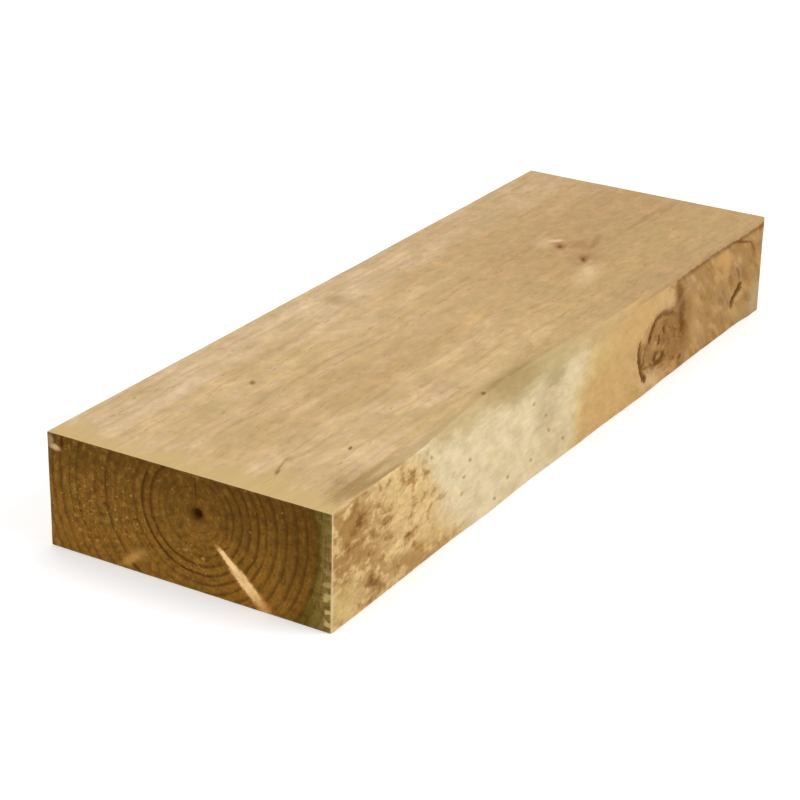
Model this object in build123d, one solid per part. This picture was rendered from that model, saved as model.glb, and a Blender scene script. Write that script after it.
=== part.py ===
"""A short garden sleeper: one length of sawn softwood cut from a log, with the log's own debarked surface
left along one side. Its section holds the pith, so the growth rings run round it inside the block.

Frame: X runs across the sleeper towards its natural side, Y runs along it from the near end to the far
end, and Z is up. The origin is in the middle of the bed, the face that it lies on. Lengths are in
millimetres. Along the sleeper, places are distances from the near end, and heights are above the bed.
"""

from build123d import *
import math
import os

# The sawn block
width = 200.0
thickness = 75.0
length = 600.0
arris = 0.8  # radius that handling has worn on the sawn edges

# The pith and the hollow where its soft core has dried and crumbled at each end
pith_offset = 8.5  # from the middle of the width, towards the natural side
pith_height = 50.0
pith_hollow_width = 6.5
pith_hollow_floor = 3.0
pith_hollow_depth = 5.0

# The natural side, which lies behind the saw's own side plane
crown_height = 22.0  # where the log stands out furthest
crown_setback = 1.7  # from the saw's plane to the log at that height
swell_depth = 0.5  # of the log's gentle lumps
swell_length = 136.0
swell_rise = 64.0

# The sawn strips at both ends of that side, which the saw did reach
near_strip = 5.0
near_blend = 140.0  # length over which the log's surface falls away behind the strip
far_strip = 14.0
far_strip_top = 50.0  # its width where it meets the top face
far_strip_flare = 40.0  # height from which it widens towards the top
far_blend = 20.0

# The wane, where the log was too small to fill the block's upper corner
wane_middle = 230.0
wane_near_reach = 170.0  # from its middle to where it has died out
wane_far_reach = 175.0
wane_lean = 0.8  # how far the side leans back between the crown and the top face, at the middle
wane_roll = 8.0  # how much more its shoulder rolls over
wane_shoulder = 13.0  # height of that rounded shoulder

# The overgrown branch scar on the natural side
scar_place = 429.0
scar_height = 31.0
scar_length = 76.0
scar_width = 52.0
scar_dish = 2.4  # depth of the hollow over the old branch
scar_collar = 0.9  # height of the healed wood round it

# The two dark crevices that the healed wood leaves round the upper left of the scar. Each spot is a distance
# along and a height, and at its first and last spots a crevice has run out of the wood.
crevice_width = 4.4
crevice_depth = 2.4
left_crevice = ((409.0, 6.0), (401.5, 13.0), (395.0, 23.0), (390.5, 32.5), (386.5, 41.5))
arch_crevice = ((404.0, 35.0), (410.5, 42.5), (422.0, 50.0), (438.0, 49.5), (457.0, 43.0))

# The knot's own heart, a ring of bark with the branch's core inside it
eye_place = 429.5
eye_height = 20.5
eye_length = 16.0
eye_width = 10.0
eye_groove = 1.8

# The bark pocket near the far end
pocket_place = 557.0
pocket_height = 25.5
pocket_length = 22.0
pocket_width = 5.5
pocket_depth = 4.0
pocket_lean = 31.0  # degrees up from the length

# How closely the natural surface is laid out, and how far it is carried past the block to cut it cleanly
station_step = 4.0
row_step = 4.0
overrun = 12.0
fit_tolerance = 0.01

side_plane = width / 2
near_end = -length / 2


def smooth_step(share):
    """0 below 0, 1 above 1, and a smooth rise between."""
    held = min(1.0, max(0.0, share))
    return held * held * (3.0 - 2.0 * held)


def natural_share(along, height):
    """1 where the side is the log's own surface, and 0 on the sawn strips at the two ends."""
    flare = max(0.0, height - far_strip_flare) / (thickness - far_strip_flare)
    far_edge = length - far_strip - (far_strip_top - far_strip) * flare**2
    from_near = smooth_step((along - near_strip) / near_blend)
    from_far = smooth_step((far_edge - along) / far_blend)
    return from_near * from_far


def wane(along, height):
    """Depth of the wane: a lean above the crown and a rounded shoulder, fading out to both sides."""
    reach = wane_near_reach if along < wane_middle else wane_far_reach
    span = min(1.0, abs(along - wane_middle) / reach)
    lean = max(0.0, height - crown_height) / (thickness - crown_height)
    roll = max(0.0, height - thickness + wane_shoulder) / wane_shoulder
    return math.cos(span * math.pi / 2) ** 2 * (wane_lean * lean**2 + wane_roll * roll**2)


def swell(along, height):
    """Gentle lumps of the log, as two waves that cross."""
    run = 2 * math.pi * along / swell_length
    rise = 2 * math.pi * height / swell_rise
    return swell_depth * math.sin(run + rise / 2) * math.cos(rise - run / 3)


def scar_relief(along, height):
    """Depth of the branch scar: a dish over the old branch inside a low collar of healed wood."""
    across = (along - scar_place) / (scar_length / 2)
    upward = (height - scar_height) / (scar_width / 2)
    ring = math.hypot(across, upward)
    dish = scar_dish * math.exp(-((ring / 0.75) ** 2))
    collar = scar_collar * math.exp(-(((ring - 1.25) / 0.3) ** 2))
    return dish - collar


def setback(along, height):
    """How far the side lies behind the saw's side plane, which it reaches only on the sawn strips."""
    log = crown_setback + wane(along, height) + swell(along, height) + scar_relief(along, height)
    return natural_share(along, height) * log


def even_steps(low, high, step):
    """Places from low to high, both included, no further apart than the step."""
    count = math.ceil((high - low) / step)
    return [low + (high - low) * i / count for i in range(count + 1)]


def sawn_block():
    """The block as the saw left it on five sides, with softened edges, running on past the natural side."""
    block = Pos(-side_plane, 0, 0) * Box(
        width + overrun,
        length,
        thickness,
        align=(Align.MIN, Align.CENTER, Align.MIN),
    )
    cut_off = block.faces().sort_by(Axis.X)[-1].edges()
    return fillet(block.edges() - cut_off, arris)


def log_body():
    """Everything behind the block's fourth side: the natural surface and the sawn strips at its ends."""
    points = [
        [
            Vector(side_plane - setback(along, height), near_end + along, height)
            for height in even_steps(-overrun, thickness + overrun, row_step)
        ]
        for along in even_steps(-overrun, length + overrun, station_step)
    ]
    surface = Face.make_surface_from_array_of_points(points, tol=fit_tolerance, min_deg=3, max_deg=3)
    return Solid.extrude(surface, Vector(-(width + 2 * overrun), 0, 0))


def on_side(place, height, lean=0.0, behind=0.0):
    """A plane facing out of the natural side, with its own X along the sleeper and raised by the lean."""
    turn = math.radians(lean)
    along_dir = (0, math.cos(turn), math.sin(turn))
    origin = (side_plane - behind, near_end + place, height)
    return Plane(origin=origin, x_dir=along_dir, z_dir=(1, 0, 0))


def side_point(spot, behind):
    """A point a given depth behind the saw's side plane, from its distance along and its height."""
    return Vector(side_plane - behind, near_end + spot[0], spot[1])


def scar_crevice(spots):
    """A round-bottomed groove along a smooth line, which follows the wood's surface and leaves it at both ends."""
    radius = crevice_width / 2
    inside = [side_point(spot, setback(*spot) + crevice_depth - radius) for spot in spots[1:-1]]
    start, end = (side_point(spot, setback(*spot) - crevice_width) for spot in (spots[0], spots[-1]))
    path = Spline(start, *inside, end)
    return sweep(Plane(origin=path @ 0, z_dir=path % 0) * Circle(radius), path=path)


def knot_eye():
    """The shallow oval groove round the branch's core."""
    behind = setback(eye_place, eye_height)
    plane = on_side(eye_place, eye_height, behind=behind + eye_groove)
    rim = eye_width / 4
    outer = Ellipse(eye_length / 2, eye_width / 2)
    inner = Ellipse(eye_length / 2 - rim, eye_width / 2 - rim)
    return extrude(plane * (outer - inner), amount=eye_groove + scar_dish)


def bark_pocket():
    """The pocket left where a strip of bark was grown over and has fallen out, as a lens-shaped hollow."""
    plane = on_side(pocket_place, pocket_height, pocket_lean, setback(pocket_place, pocket_height))
    return plane * scale(Sphere(0.5), by=(pocket_length, pocket_width, 2 * pocket_depth))


def pith_hollow(end_y, inward):
    """The tapered hollow at one end of the pith; inward is the direction into the wood, along Y."""
    mouth = Plane(origin=(pith_offset, end_y, pith_height), x_dir=(1, 0, 0), z_dir=(0, inward, 0))
    cone = Cone(
        pith_hollow_width / 2,
        pith_hollow_floor / 2,
        pith_hollow_depth,
        align=(Align.CENTER, Align.CENTER, Align.MIN),
    )
    return mouth * cone


def sleeper():
    """The block as it left the saw, less what the log did not fill and what has fallen out since."""
    body = sawn_block() & log_body()
    body -= scar_crevice(left_crevice)
    body -= scar_crevice(arch_crevice)
    body -= knot_eye()
    body -= bark_pocket()
    body -= pith_hollow(near_end, 1)
    body -= pith_hollow(near_end + length, -1)
    return body


os.makedirs("parts", exist_ok=True)
export_step(sleeper(), "parts/sleeper.step")
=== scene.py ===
"""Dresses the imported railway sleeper: a short length of pressure-treated softwood, sawn on five sides, with
the debarked outside of the log left along the sixth. Sizes and places are in millimetres in the frame of the
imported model, and are made metres as they go into a mesh. "Along" is the distance from the near end.
"""

import bpy
import math
import numpy as np
from mathutils import Matrix, Vector


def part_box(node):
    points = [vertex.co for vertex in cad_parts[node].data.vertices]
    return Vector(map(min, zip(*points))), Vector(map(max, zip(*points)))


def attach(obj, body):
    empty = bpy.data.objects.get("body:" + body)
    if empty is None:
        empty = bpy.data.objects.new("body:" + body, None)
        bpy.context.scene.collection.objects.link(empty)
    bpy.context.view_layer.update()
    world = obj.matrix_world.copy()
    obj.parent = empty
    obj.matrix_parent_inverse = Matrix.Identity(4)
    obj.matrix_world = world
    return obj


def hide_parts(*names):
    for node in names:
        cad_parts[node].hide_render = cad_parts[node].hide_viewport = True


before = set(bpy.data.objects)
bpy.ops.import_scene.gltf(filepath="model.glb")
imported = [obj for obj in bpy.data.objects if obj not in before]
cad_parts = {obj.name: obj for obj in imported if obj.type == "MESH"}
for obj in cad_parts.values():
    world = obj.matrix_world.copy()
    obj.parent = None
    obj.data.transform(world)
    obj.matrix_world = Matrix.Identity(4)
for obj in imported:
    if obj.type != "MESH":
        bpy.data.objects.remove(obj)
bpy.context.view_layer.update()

# The timber
# The real piece is one billet of pine or spruce, sawn square round its heart and cross-cut at both ends.
# The log was a little too small for it on one side, so the debarked surface stays there, with a branch scar.

mm = 0.001
block_low, block_high = (np.array(corner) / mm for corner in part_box("sleeper"))
half_width = -block_low[0]
half_length = block_high[1]
length = 2 * half_length
thickness = block_high[2]

pith = (8.5, 50)  # across and height
pith_hollow_radius = 3
pith_hollow_depth = 5

arris_radius = 0.7
arris_wear = 0.5  # how much more the worst knocks have taken
wane_arris_radius = 3.6  # where the log's own roundness makes the edge
log_arris_radius = 2.4  # on the same edge past the wane, from where the log comes out to the edge
log_arris_start = 300
log_arris_end = 566

log_start = 35  # across, from where the lattice leans towards the natural side
crown_height = 22  # where the natural side stands out furthest
crown_setback = 1.7
near_strip = 5  # sawn strips at the two ends of the natural side
near_blend = 140
far_strip = 14
far_strip_top = 50
far_strip_flare = 40
far_blend = 20
wane_middle = 230
wane_near_reach = 170
wane_far_reach = 175
wane_lean = 0.8
wane_roll = 8
wane_shoulder = 13
swell_depth = 0.5
swell_length = 136
swell_rise = 64

scar_middle = (429, 31)  # along and height
scar_half = (38, 26)
scar_dish = 2.4
scar_collar = 0.9
crevice_left = ((405.2, 10.8), (400.4, 13.7), (396.7, 20.6), (394, 27.1), (391.6, 33), (393, 41))
crevice_arch = ((411.4, 37.4), (412, 42.4), (418.7, 49.5), (427.5, 51), (438, 49.7), (450, 45.2))
crevice_width = 7.6
crevice_depth = 1.4
bark_depth = 1.2  # of a groove that is dark with bark right across
inner_hook = ((429.3, 34.2), (428, 29.6))
inner_fold = ((434.2, 41), (437.8, 34.5))
inner_width = 3.4
inner_depth = 0.8
eye_middle = (429.5, 19.6)
eye_half = (7.8, 5.2)
eye_groove = 1
pocket_ends = ((553.6, 18.6), (555.8, 22), (561.6, 26.4), (566.6, 29.6))
pocket_width = 9
pocket_depth = 1.9

chip_middle = (-95.5, 68)  # across and height, at the near end
chip_half = (3.6, 4.4)
chip_depth = 0.8
knot_dimples = ((454, 0.8), (440, 27.4))  # along and across, in the top
knot_half = (4.2, 3.4)
knot_depth = 0.5

# Steps of the mesh's lattice: how it closes up at the edges, and across, along and up between them.
edge_steps = (0, 0.35, 0.8, 1.4, 2.2, 3.2, 4.4, 6)
step_across = 3.2
step_near_side = 1.5
step_along = 2.6
step_fine = 1.3
fine_stretch = (378, 470)  # round the scar


def smooth_step(share):
    """0 below 0, 1 above 1, and a smooth rise between."""
    held = np.clip(share, 0, 1)
    return held * held * (3 - 2 * held)


def ripple(seed, *places, waves=9):
    """Gentle unevenness within -1 and 1: the hyperbolic tangent of a sum of seeded cosine waves."""
    rng = np.random.default_rng(seed)
    total = 0
    for _ in range(waves):
        turns = rng.normal(size=len(places)) * 2.2
        total = total + np.cos(sum(t * p for t, p in zip(turns, places)) + rng.uniform(0, 2 * np.pi))
    return np.tanh(total * math.sqrt(2 / waves) / 1.3)


def line_distance(along, height, points):
    """Distance from each place to a line through the points, with how far along the line it is, 0 to 1."""
    best = np.full(along.shape, 1e9)
    share = np.zeros(along.shape)
    for i, (start, end) in enumerate(zip(points[:-1], points[1:])):
        run = np.subtract(end, start)
        t = ((along - start[0]) * run[0] + (height - start[1]) * run[1]) / (run @ run)
        t = np.clip(t, 0, 1)
        reach = np.hypot(along - start[0] - t * run[0], height - start[1] - t * run[1])
        nearer = reach < best
        best = np.where(nearer, reach, best)
        share = np.where(nearer, (i + t) / (len(points) - 1), share)
    return best, share


def natural_share(along, height):
    """1 where the side is the log's own surface, and 0 on the sawn strips at the two ends."""
    flare = np.clip((height - far_strip_flare) / (thickness - far_strip_flare), 0, None)
    far_edge = length - far_strip - (far_strip_top - far_strip) * flare**2
    far_edge = far_edge + 1.6 * ripple(11, height / 7)
    from_near = smooth_step((along - near_strip + 1.2 * ripple(12, height / 6)) / near_blend)
    from_far = smooth_step((far_edge - along) / far_blend)
    return from_near * from_far


def wane_share(along):
    """1 at the middle of the wane, fading as a squared cosine to both sides."""
    reach = np.where(along < wane_middle, wane_near_reach, wane_far_reach)
    span = np.clip(np.abs(along - wane_middle) / reach, 0, 1)
    return np.cos(span * np.pi / 2) ** 2


def groove(distance, width, depth):
    """A ragged valley that is as deep as stated on its line and level at half its width."""
    return depth * smooth_step(1 - distance / (width / 2))


def bark_grooves(along, height):
    """Depth of the narrow places that still hold bark: valleys along lines, and an oval open at its top."""
    ragged = 0.8 * ripple(21, along / 2.6, height / 2.6)
    depth = np.zeros(along.shape)
    for line, width, most, thinning in (
        (crevice_left, crevice_width, crevice_depth, 0.3),
        (crevice_arch, crevice_width, crevice_depth, 0.75),
        (inner_hook, inner_width, inner_depth, 0.2),
        (inner_fold, inner_width, inner_depth, 0.5),
        (pocket_ends, pocket_width, pocket_depth, 0),
    ):
        distance, share = line_distance(along, height, line)
        depth = np.maximum(depth, groove(distance + ragged, width, most * (1 - thinning * share)))
    run = (along - eye_middle[0]) / eye_half[0]
    rise = (height - eye_middle[1]) / eye_half[1]
    closed = 1 - 0.7 * smooth_step((rise + 0.1 * run) / 0.7)
    rim = np.exp(-(((np.hypot(run, rise) - 0.85 + 0.1 * ragged) / 0.3) ** 2))
    return np.maximum(depth, eye_groove * closed * rim)


def scar_relief(along, height):
    """The branch scar: a bell-shaped dish inside a low bell-shaped ring of healed wood, with folds in it."""
    ring = np.hypot((along - scar_middle[0]) / scar_half[0], (height - scar_middle[1]) / scar_half[1])
    dish = scar_dish * np.exp(-((ring / 0.75) ** 2))
    collar = scar_collar * np.exp(-(((ring - 1.25) / 0.3) ** 2))
    folds = 0.3 * ripple(22, ring * 8, (along - height) / 14) * np.exp(-((ring / 1.1) ** 4))
    return dish - collar + folds


def setback(along, height):
    """How far the natural side lies behind the saw's side plane."""
    share = wane_share(along)
    lean = np.clip((height - crown_height) / (thickness - crown_height), 0, None)
    roll = np.clip((height - thickness + wane_shoulder) / wane_shoulder, 0, None)
    run = 2 * np.pi * along / swell_length
    rise = 2 * np.pi * height / swell_rise
    swell = swell_depth * np.sin(run + rise / 2) * np.cos(rise - run / 3)
    lumps = 0.2 * ripple(31, along / 40, height / 24) + 0.1 * ripple(32, along / 14, height / 5)
    log = crown_setback + share * (wane_lean * lean**2 + wane_roll * roll**2) + swell + lumps
    return natural_share(along, height) * (log + scar_relief(along, height) + bark_grooves(along, height))


def edge_to_edge(size, *stretches):
    """Places along one edge of the block. Each stretch is a start, an end and a step, divided evenly."""
    places = [np.linspace(a, b, int(round((b - a) / step)) + 1)[:-1] for a, b, step in stretches]
    return np.concatenate((edge_steps[:-1], *places, size - np.array(edge_steps)[::-1]))


def lattice_skin(xs, ys, zs):
    """The outer points of a lattice over the block, and the six faces' squares of them, facing outwards."""
    shape = (len(xs), len(ys), len(zs))
    shell = np.zeros(shape, bool)
    for axis in range(3):
        np.moveaxis(shell, axis, 0)[[0, -1]] = True
    numbers = np.full(shape, -1)
    numbers[shell] = np.arange(shell.sum())
    points = np.stack(np.meshgrid(xs, ys, zs, indexing="ij"), axis=-1)[shell]
    faces = {}
    for axis, names in enumerate((("back", "natural"), ("near", "far"), ("bed", "top"))):
        for end, name in zip((0, -1), names):
            sheet = np.moveaxis(numbers, axis, 0)[end]
            corners = (sheet[:-1, :-1], sheet[1:, :-1], sheet[1:, 1:], sheet[:-1, 1:])
            squares = np.stack(corners, axis=-1).reshape(-1, 4)
            outwards = (end == -1) != (axis == 1)
            faces[name] = squares if outwards else squares[:, ::-1]
    return points, faces


def drawn_to_pith(points):
    """Draws the ends' grid lines together round the pith, so that its hollow has enough points."""
    x, y, z = points.T
    on_end = np.abs(y) >= half_length
    clear = smooth_step(np.minimum(z, thickness - z) / 14) * smooth_step((half_width - np.abs(x)) / 20)
    away = np.hypot(x - pith[0], z - pith[1])
    pull = 0.64 * np.exp(-((away / 13) ** 2)) * clear * on_end
    return np.stack((x - pull * (x - pith[0]), y, z - pull * (z - pith[1])), axis=-1)


def worn_block(points):
    """Rounds the block's arrises: a point past the inner block goes back to an arc about its nearest point.

    The radius swells where the edge was knocked, and is the log's own along the wane. Gives the points and
    the directions in which they face.
    """
    x, y, z = points.T
    along = y + half_length
    middle = thickness / 2
    arris_number = (x > 0) * 1 + (z > middle) * 2
    knocks = np.clip(ripple(41, along / 30, arris_number * 9), 0, None) ** 3
    log_edge = (x > 0) * (z > middle) * (1 + 0.3 * ripple(42, along / 30))
    past_wane = smooth_step((along - log_arris_start) / 80) * smooth_step((log_arris_end - along) / 30)
    wane_radius = (wane_arris_radius - arris_radius) * wane_share(along) ** 0.8
    past_radius = (log_arris_radius - arris_radius) * past_wane
    radius = arris_radius + arris_wear * knocks + np.maximum(wane_radius, past_radius) * log_edge
    end_knocks = np.clip(ripple(43, x / 12, z / 12, np.sign(y) * 4), 0, None) ** 2
    end_radius = arris_radius + 0.7 * arris_wear * end_knocks
    limits = np.stack((half_width - radius, half_length - end_radius, middle - radius), axis=-1)
    radii = np.stack((radius, end_radius, radius), axis=-1)
    centred = np.stack((x, y, z - middle), axis=-1)
    beyond = np.clip((np.abs(centred) - limits) / radii, 0, None)
    facing = np.sign(centred) * beyond / np.linalg.norm(beyond, axis=-1, keepdims=True)
    rounded = np.clip(centred, -limits, limits) + radii * facing
    return rounded + (0, 0, middle), facing


def surface_relief(points, facing):
    """Depth of what is missing from the sawn faces: unevenness, knot dimples, the pith and a corner chip."""
    x, y, z = points.T
    along = y + half_length
    on_end = np.abs(facing[:, 1]) > 0.9
    on_top = facing[:, 2] > 0.9
    depth = 0.1 * (1 + ripple(51, x / 30, y / 90, z / 30)) * (facing[:, 2] > -0.5)
    away = np.hypot(x - pith[0], z - pith[1])
    hollow = smooth_step(1.25 - away / (pith_hollow_radius * (1 + 0.2 * ripple(52, x / 2, z / 2))))
    depth = depth + pith_hollow_depth * hollow * on_end
    chip = np.hypot((x - chip_middle[0]) / chip_half[0], (z - chip_middle[1]) / chip_half[1])
    depth = depth + chip_depth * np.exp(-(chip**2)) * (y < 0) * on_end
    for knot_along, knot_across in knot_dimples:
        reach = np.hypot((along - knot_along) / knot_half[0], (x - knot_across) / knot_half[1])
        depth = depth + knot_depth * np.exp(-(reach**2)) * on_top
    return depth


def timber_mesh():
    """The whole skin of the billet, from the lattice, with the finish of each face as a material number."""
    rim = edge_steps[-1]
    width = 2 * half_width
    fine_start, fine_end = fine_stretch
    across = ((rim, width - 2 * rim, step_across), (width - 2 * rim, width - rim, step_near_side))
    lengthways = ((rim, fine_start, step_along), (fine_start, fine_end, step_fine))
    lengthways += ((fine_end, length - rim, step_along),)
    xs = edge_to_edge(width, *across) - half_width
    ys = edge_to_edge(length, *lengthways) - half_length
    zs = edge_to_edge(thickness, (rim, thickness - rim, step_fine))
    points, faces = lattice_skin(xs, ys, zs)
    points, facing = worn_block(drawn_to_pith(points))
    points = points - facing * surface_relief(points, facing)[:, None]
    along, height = points[:, 1] + half_length, points[:, 2]
    bark = np.clip(bark_grooves(along, height) / bark_depth, 0, 1) * (facing[:, 0] > 0.5)
    share = smooth_step((points[:, 0] - log_start) / (half_width - log_start))
    points[:, 0] -= share * setback(along, height)
    finish_of = {"near": 0, "far": 0, "natural": 2}
    squares = np.concatenate(list(faces.values()))
    finish = np.concatenate([np.full(len(f), finish_of.get(name, 1)) for name, f in faces.items()])
    leaning = facing[squares].mean(axis=1)
    finish[(finish == 1) & (leaning[:, 0] > 0.3) & (leaning[:, 2] > 0)] = 2
    mesh = bpy.data.meshes.new("sleeper_timber")
    mesh.from_pydata((points * mm).tolist(), [], squares.tolist())
    mesh.polygons.foreach_set("material_index", finish.astype(np.int32))
    mesh.polygons.foreach_set("use_smooth", np.ones(len(squares), bool))
    mesh.attributes.new("bark", "FLOAT", "POINT").data.foreach_set("value", bark.astype(np.float32))
    mesh.update()
    return mesh


timber = bpy.data.objects.new("sleeper_timber", timber_mesh())
bpy.context.scene.collection.objects.link(timber)
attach(timber, "root")
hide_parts("sleeper")

# The wood's own figure
# Growth rings stand round the pith all along the billet, so every face shows the same rings, cut its own
# way. The groups here are that figure, the fibre, and the marks and wear that more than one face carries.

# Outer edges of the rings, and how dark their late wood is towards the natural side and away from it.
ring_ages = (7.5, 13.0, 18.0, 23.0, 27.5, 34.0, 39.4, 45.6, 51.1, 58.4, 65.4, 73.1, 79.2, 86.5, 91.3, 98.0)
strengths_towards = (0.3, 0.35, 0.4, 0.5, 0.75, 0.7, 0.8, 0.8, 0.7, 0.65, 0.65, 0.7, 0.65, 0.5, 0.4, 0.4)
strengths_away = (0.3, 0.3, 0.3, 0.4, 0.45, 1.0, 1.0, 0.35, 0.3, 0.35, 0.85, 0.3, 0.35, 0.6, 0.6, 0.6)
ring_reach = 120.0
ring_count = 20  # out to that reach
lopsidedness = 0.03  # the rings are this much closer on the natural side
ACROSS, ALONG, UP = (1.0, 0.0, 0.0), (0.0, 1.0, 0.0), (0.0, 0.0, 1.0)


def tone(red, green, blue):
    """A colour as seen on screen, 0 to 255, made linear for a shader."""
    parts = [part / 255 for part in (red, green, blue)]
    return (*(p / 12.92 if p <= 0.04045 else ((p + 0.055) / 1.055) ** 2.4 for p in parts), 1.0)


class Shading:
    """A node tree written from left to right: each call adds nodes and gives back what comes out of them.

    In a finish it also holds the place on the piece and the colour so far.
    """

    def __init__(self, tree):
        self.tree = tree
        self.here = None
        self.colour = None

    def add(self, kind, inputs, **settings):
        """A shader node of that kind; inputs are socket names or numbers with a value or what feeds them."""
        node = self.tree.nodes.new("ShaderNode" + kind)
        for name, value in settings.items():
            setattr(node, name, value)
        for name, value in inputs.items():
            if isinstance(value, bpy.types.NodeSocket):
                self.tree.links.new(value, node.inputs[name])
            else:
                node.inputs[name].default_value = value
        return node

    def math(self, operation, *values):
        """One sum on numbers."""
        return self.add("Math", dict(enumerate(values)), operation=operation).outputs[0]

    def times(self, first, second):
        """Two numbers multiplied."""
        return self.math("MULTIPLY", first, second)

    def line(self, value, slope, start):
        """A value times a slope, plus a start."""
        return self.math("MULTIPLY_ADD", value, slope, start)

    def moved(self, value, noise, most):
        """A value moved unevenly: by how far a noise is from a half, times the most."""
        return self.line(self.math("SUBTRACT", noise, 0.5), most, value)

    def vector(self, operation, *values):
        """One sum on vectors; the length and the dot product come out as a number."""
        node = self.add("VectorMath", dict(enumerate(values)), operation=operation)
        return node.outputs["Value" if operation in ("LENGTH", "DOT_PRODUCT") else "Vector"]

    def scaled(self, vector, factor):
        """A vector or colour multiplied by a number."""
        return self.add("VectorMath", {0: vector, "Scale": factor}, operation="SCALE").outputs[0]

    def parts(self, vector):
        """The three numbers of a vector: across, along and up."""
        return self.add("SeparateXYZ", {0: vector}).outputs

    def rise(self, value, low, high, top=1.0):
        """A smooth rise from 0 at the low value to the top at the high one; a fall if they are swapped."""
        inputs = {"Value": value, "From Min": low, "From Max": high, "To Min": 0.0, "To Max": top}
        return self.add("MapRange", inputs, interpolation_type="SMOOTHSTEP").outputs["Result"]

    def noise(self, place, size, detail=3.0, roughness=0.6, shift=0.0, colour=False):
        """Noise whose lumps have the given size in millimetres across, along and up, moved by the shift."""
        fit = {"Scale": tuple(1 / s for s in size), "Location": (shift, shift * 1.7, shift * 0.6)}
        moved = self.add("Mapping", {"Vector": place, **fit}).outputs[0]
        inputs = {"Vector": moved, "Scale": 1.0, "Detail": detail, "Roughness": roughness}
        return self.add("TexNoise", inputs).outputs["Color" if colour else "Fac"]

    def blend(self, share, first, second):
        """Two colours mixed: the share is that of the second."""
        inputs = {0: share, 6: first, 7: second}
        return self.add("Mix", inputs, data_type="RGBA", clamp_factor=True).outputs[2]

    def shaded(self, colour, value, amount):
        """A colour made lighter and darker by how far a value is from a half, times the amount."""
        return self.scaled(colour, self.moved(1.0, value, amount))

    def shade(self, value, amount):
        """The colour so far made lighter and darker in that way."""
        self.colour = self.shaded(self.colour, value, amount)

    def paint(self, paint, share, strength=1.0):
        """Paints over the colour so far; how strongly is a share times a strength."""
        self.colour = self.blend(self.times(share, strength), self.colour, paint)

    def wash(self, paint, value, low, high, top=1.0, strength=1.0):
        """Paints over the colour so far where a value rises smoothly from the low to the high one."""
        self.paint(paint, self.rise(value, low, high, top), strength)

    def layers(self, *layers):
        """A sum of values, each with its weight."""
        total = self.times(*layers[0])
        for value, weight in layers[1:]:
            total = self.line(value, weight, total)
        return total

    def place(self):
        """The point on the piece, in millimetres."""
        metres = self.add("TexCoord", {}).outputs["Object"]
        self.here = self.scaled(metres, 1 / mm)
        return self.here

    def give(self, outlet, value):
        """Sends a value out of a group."""
        self.tree.links.new(value, outlet)

    def use(self, group, **inputs):
        """A group placed in this tree; underscores in the names stand for spaces."""
        named = {name.replace("_", " "): value for name, value in inputs.items()}
        return self.add("Group", named, node_tree=group).outputs


def new_group(name, vectors, numbers, outputs):
    """An empty node group with named sockets; gives it, its writer, what comes in and where to give.

    What comes in is vectors and numbers, and what goes out is numbers.
    """
    group = bpy.data.node_groups.new(name, "ShaderNodeTree")
    sockets = [(socket, "INPUT", "NodeSocketVector") for socket in vectors]
    sockets += [(socket, "INPUT", "NodeSocketFloat") for socket in numbers]
    sockets += [(socket, "OUTPUT", "NodeSocketFloat") for socket in outputs]
    for socket, direction, kind in sockets:
        group.interface.new_socket(name=socket, in_out=direction, socket_type=kind)
    inner = group.nodes.new("NodeGroupInput").outputs
    outer = group.nodes.new("NodeGroupOutput").inputs
    return group, Shading(group), inner, outer


def along_ages(s, age, colours, last):
    """Straight lines between colours at the rings' outer edges, read at an age."""
    ramp = s.add("ValToRGB", {"Fac": s.math("DIVIDE", age, ring_reach)})
    stops = ramp.color_ramp.elements
    stops[0].color = (0.0, 0.0, 0.0, 1.0)
    stops[1].color = last
    for ring, colour in zip(ring_ages, colours):
        stops.new(ring / ring_reach).color = colour
    return ramp.outputs["Color"]


def growth_rings():
    """Rings about the pith. The age is the distance from it, a little more on the natural side, plus noise.

    The age becomes a ring number, evenly from ring to ring. Its fraction is the place within the year: late
    wood darkens from the middle of it and stops short at its end. Finer, weaker rings lie between.
    """
    group, s, inner, outer = new_group(
        "growth rings", ("Place",), ("Wander", "Wobble"), ("Late Wood", "Band", "Radius")
    )
    slow = s.noise(inner["Place"], (150, 230, 150), 1, colour=True)
    drift = s.scaled(s.vector("SUBTRACT", slow, (0.5, 0.5, 0.5)), s.times(inner["Wander"], 2))
    about_pith = s.vector("ADD", s.vector("SUBTRACT", inner["Place"], (pith[0], 0, pith[1])), drift)
    radial = s.vector("MULTIPLY", about_pith, (1, 0, 1))
    radius = s.vector("LENGTH", radial)
    sideways = s.parts(radial)["X"]
    round_age = s.line(sideways, lopsidedness, radius)
    age = s.moved(round_age, s.noise(inner["Place"], (11, 90, 11)), inner["Wobble"])
    numbers = [((i + 1) / ring_count,) * 3 + (1,) for i in range(len(ring_ages))]
    number = along_ages(s, age, numbers, (1, 1, 1, 1))
    year = s.math("FRACT", s.times(number, ring_count))
    late = s.times(s.rise(year, 0.42, 0.8), s.rise(year, 1, 0.9))
    pairs = [(a, b, 0, 1) for a, b in zip(strengths_towards, strengths_away)]
    strengths = s.parts(along_ages(s, age, pairs, (0.7, 0.7, 0, 1)))
    towards = s.rise(s.math("DIVIDE", sideways, radius), -0.4, 0.4)
    more = s.math("SUBTRACT", strengths["X"], strengths["Y"])
    strong = s.times(late, s.line(towards, more, strengths["Y"]))
    uneven = s.times(s.noise(radial, (14, 14, 14), 1), 1.5)
    fine = s.math("FRACT", s.math("ADD", s.math("DIVIDE", age, 2.3), uneven))
    weak = s.times(s.math("POWER", fine, 3), 0.25)
    s.give(outer["Late Wood"], s.math("MAXIMUM", strong, weak))
    band_place = s.add("CombineXYZ", {"X": age}).outputs[0]
    s.give(outer["Band"], s.noise(band_place, (9, 9, 9), 1))
    s.give(outer["Radius"], radius)
    return group


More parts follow.
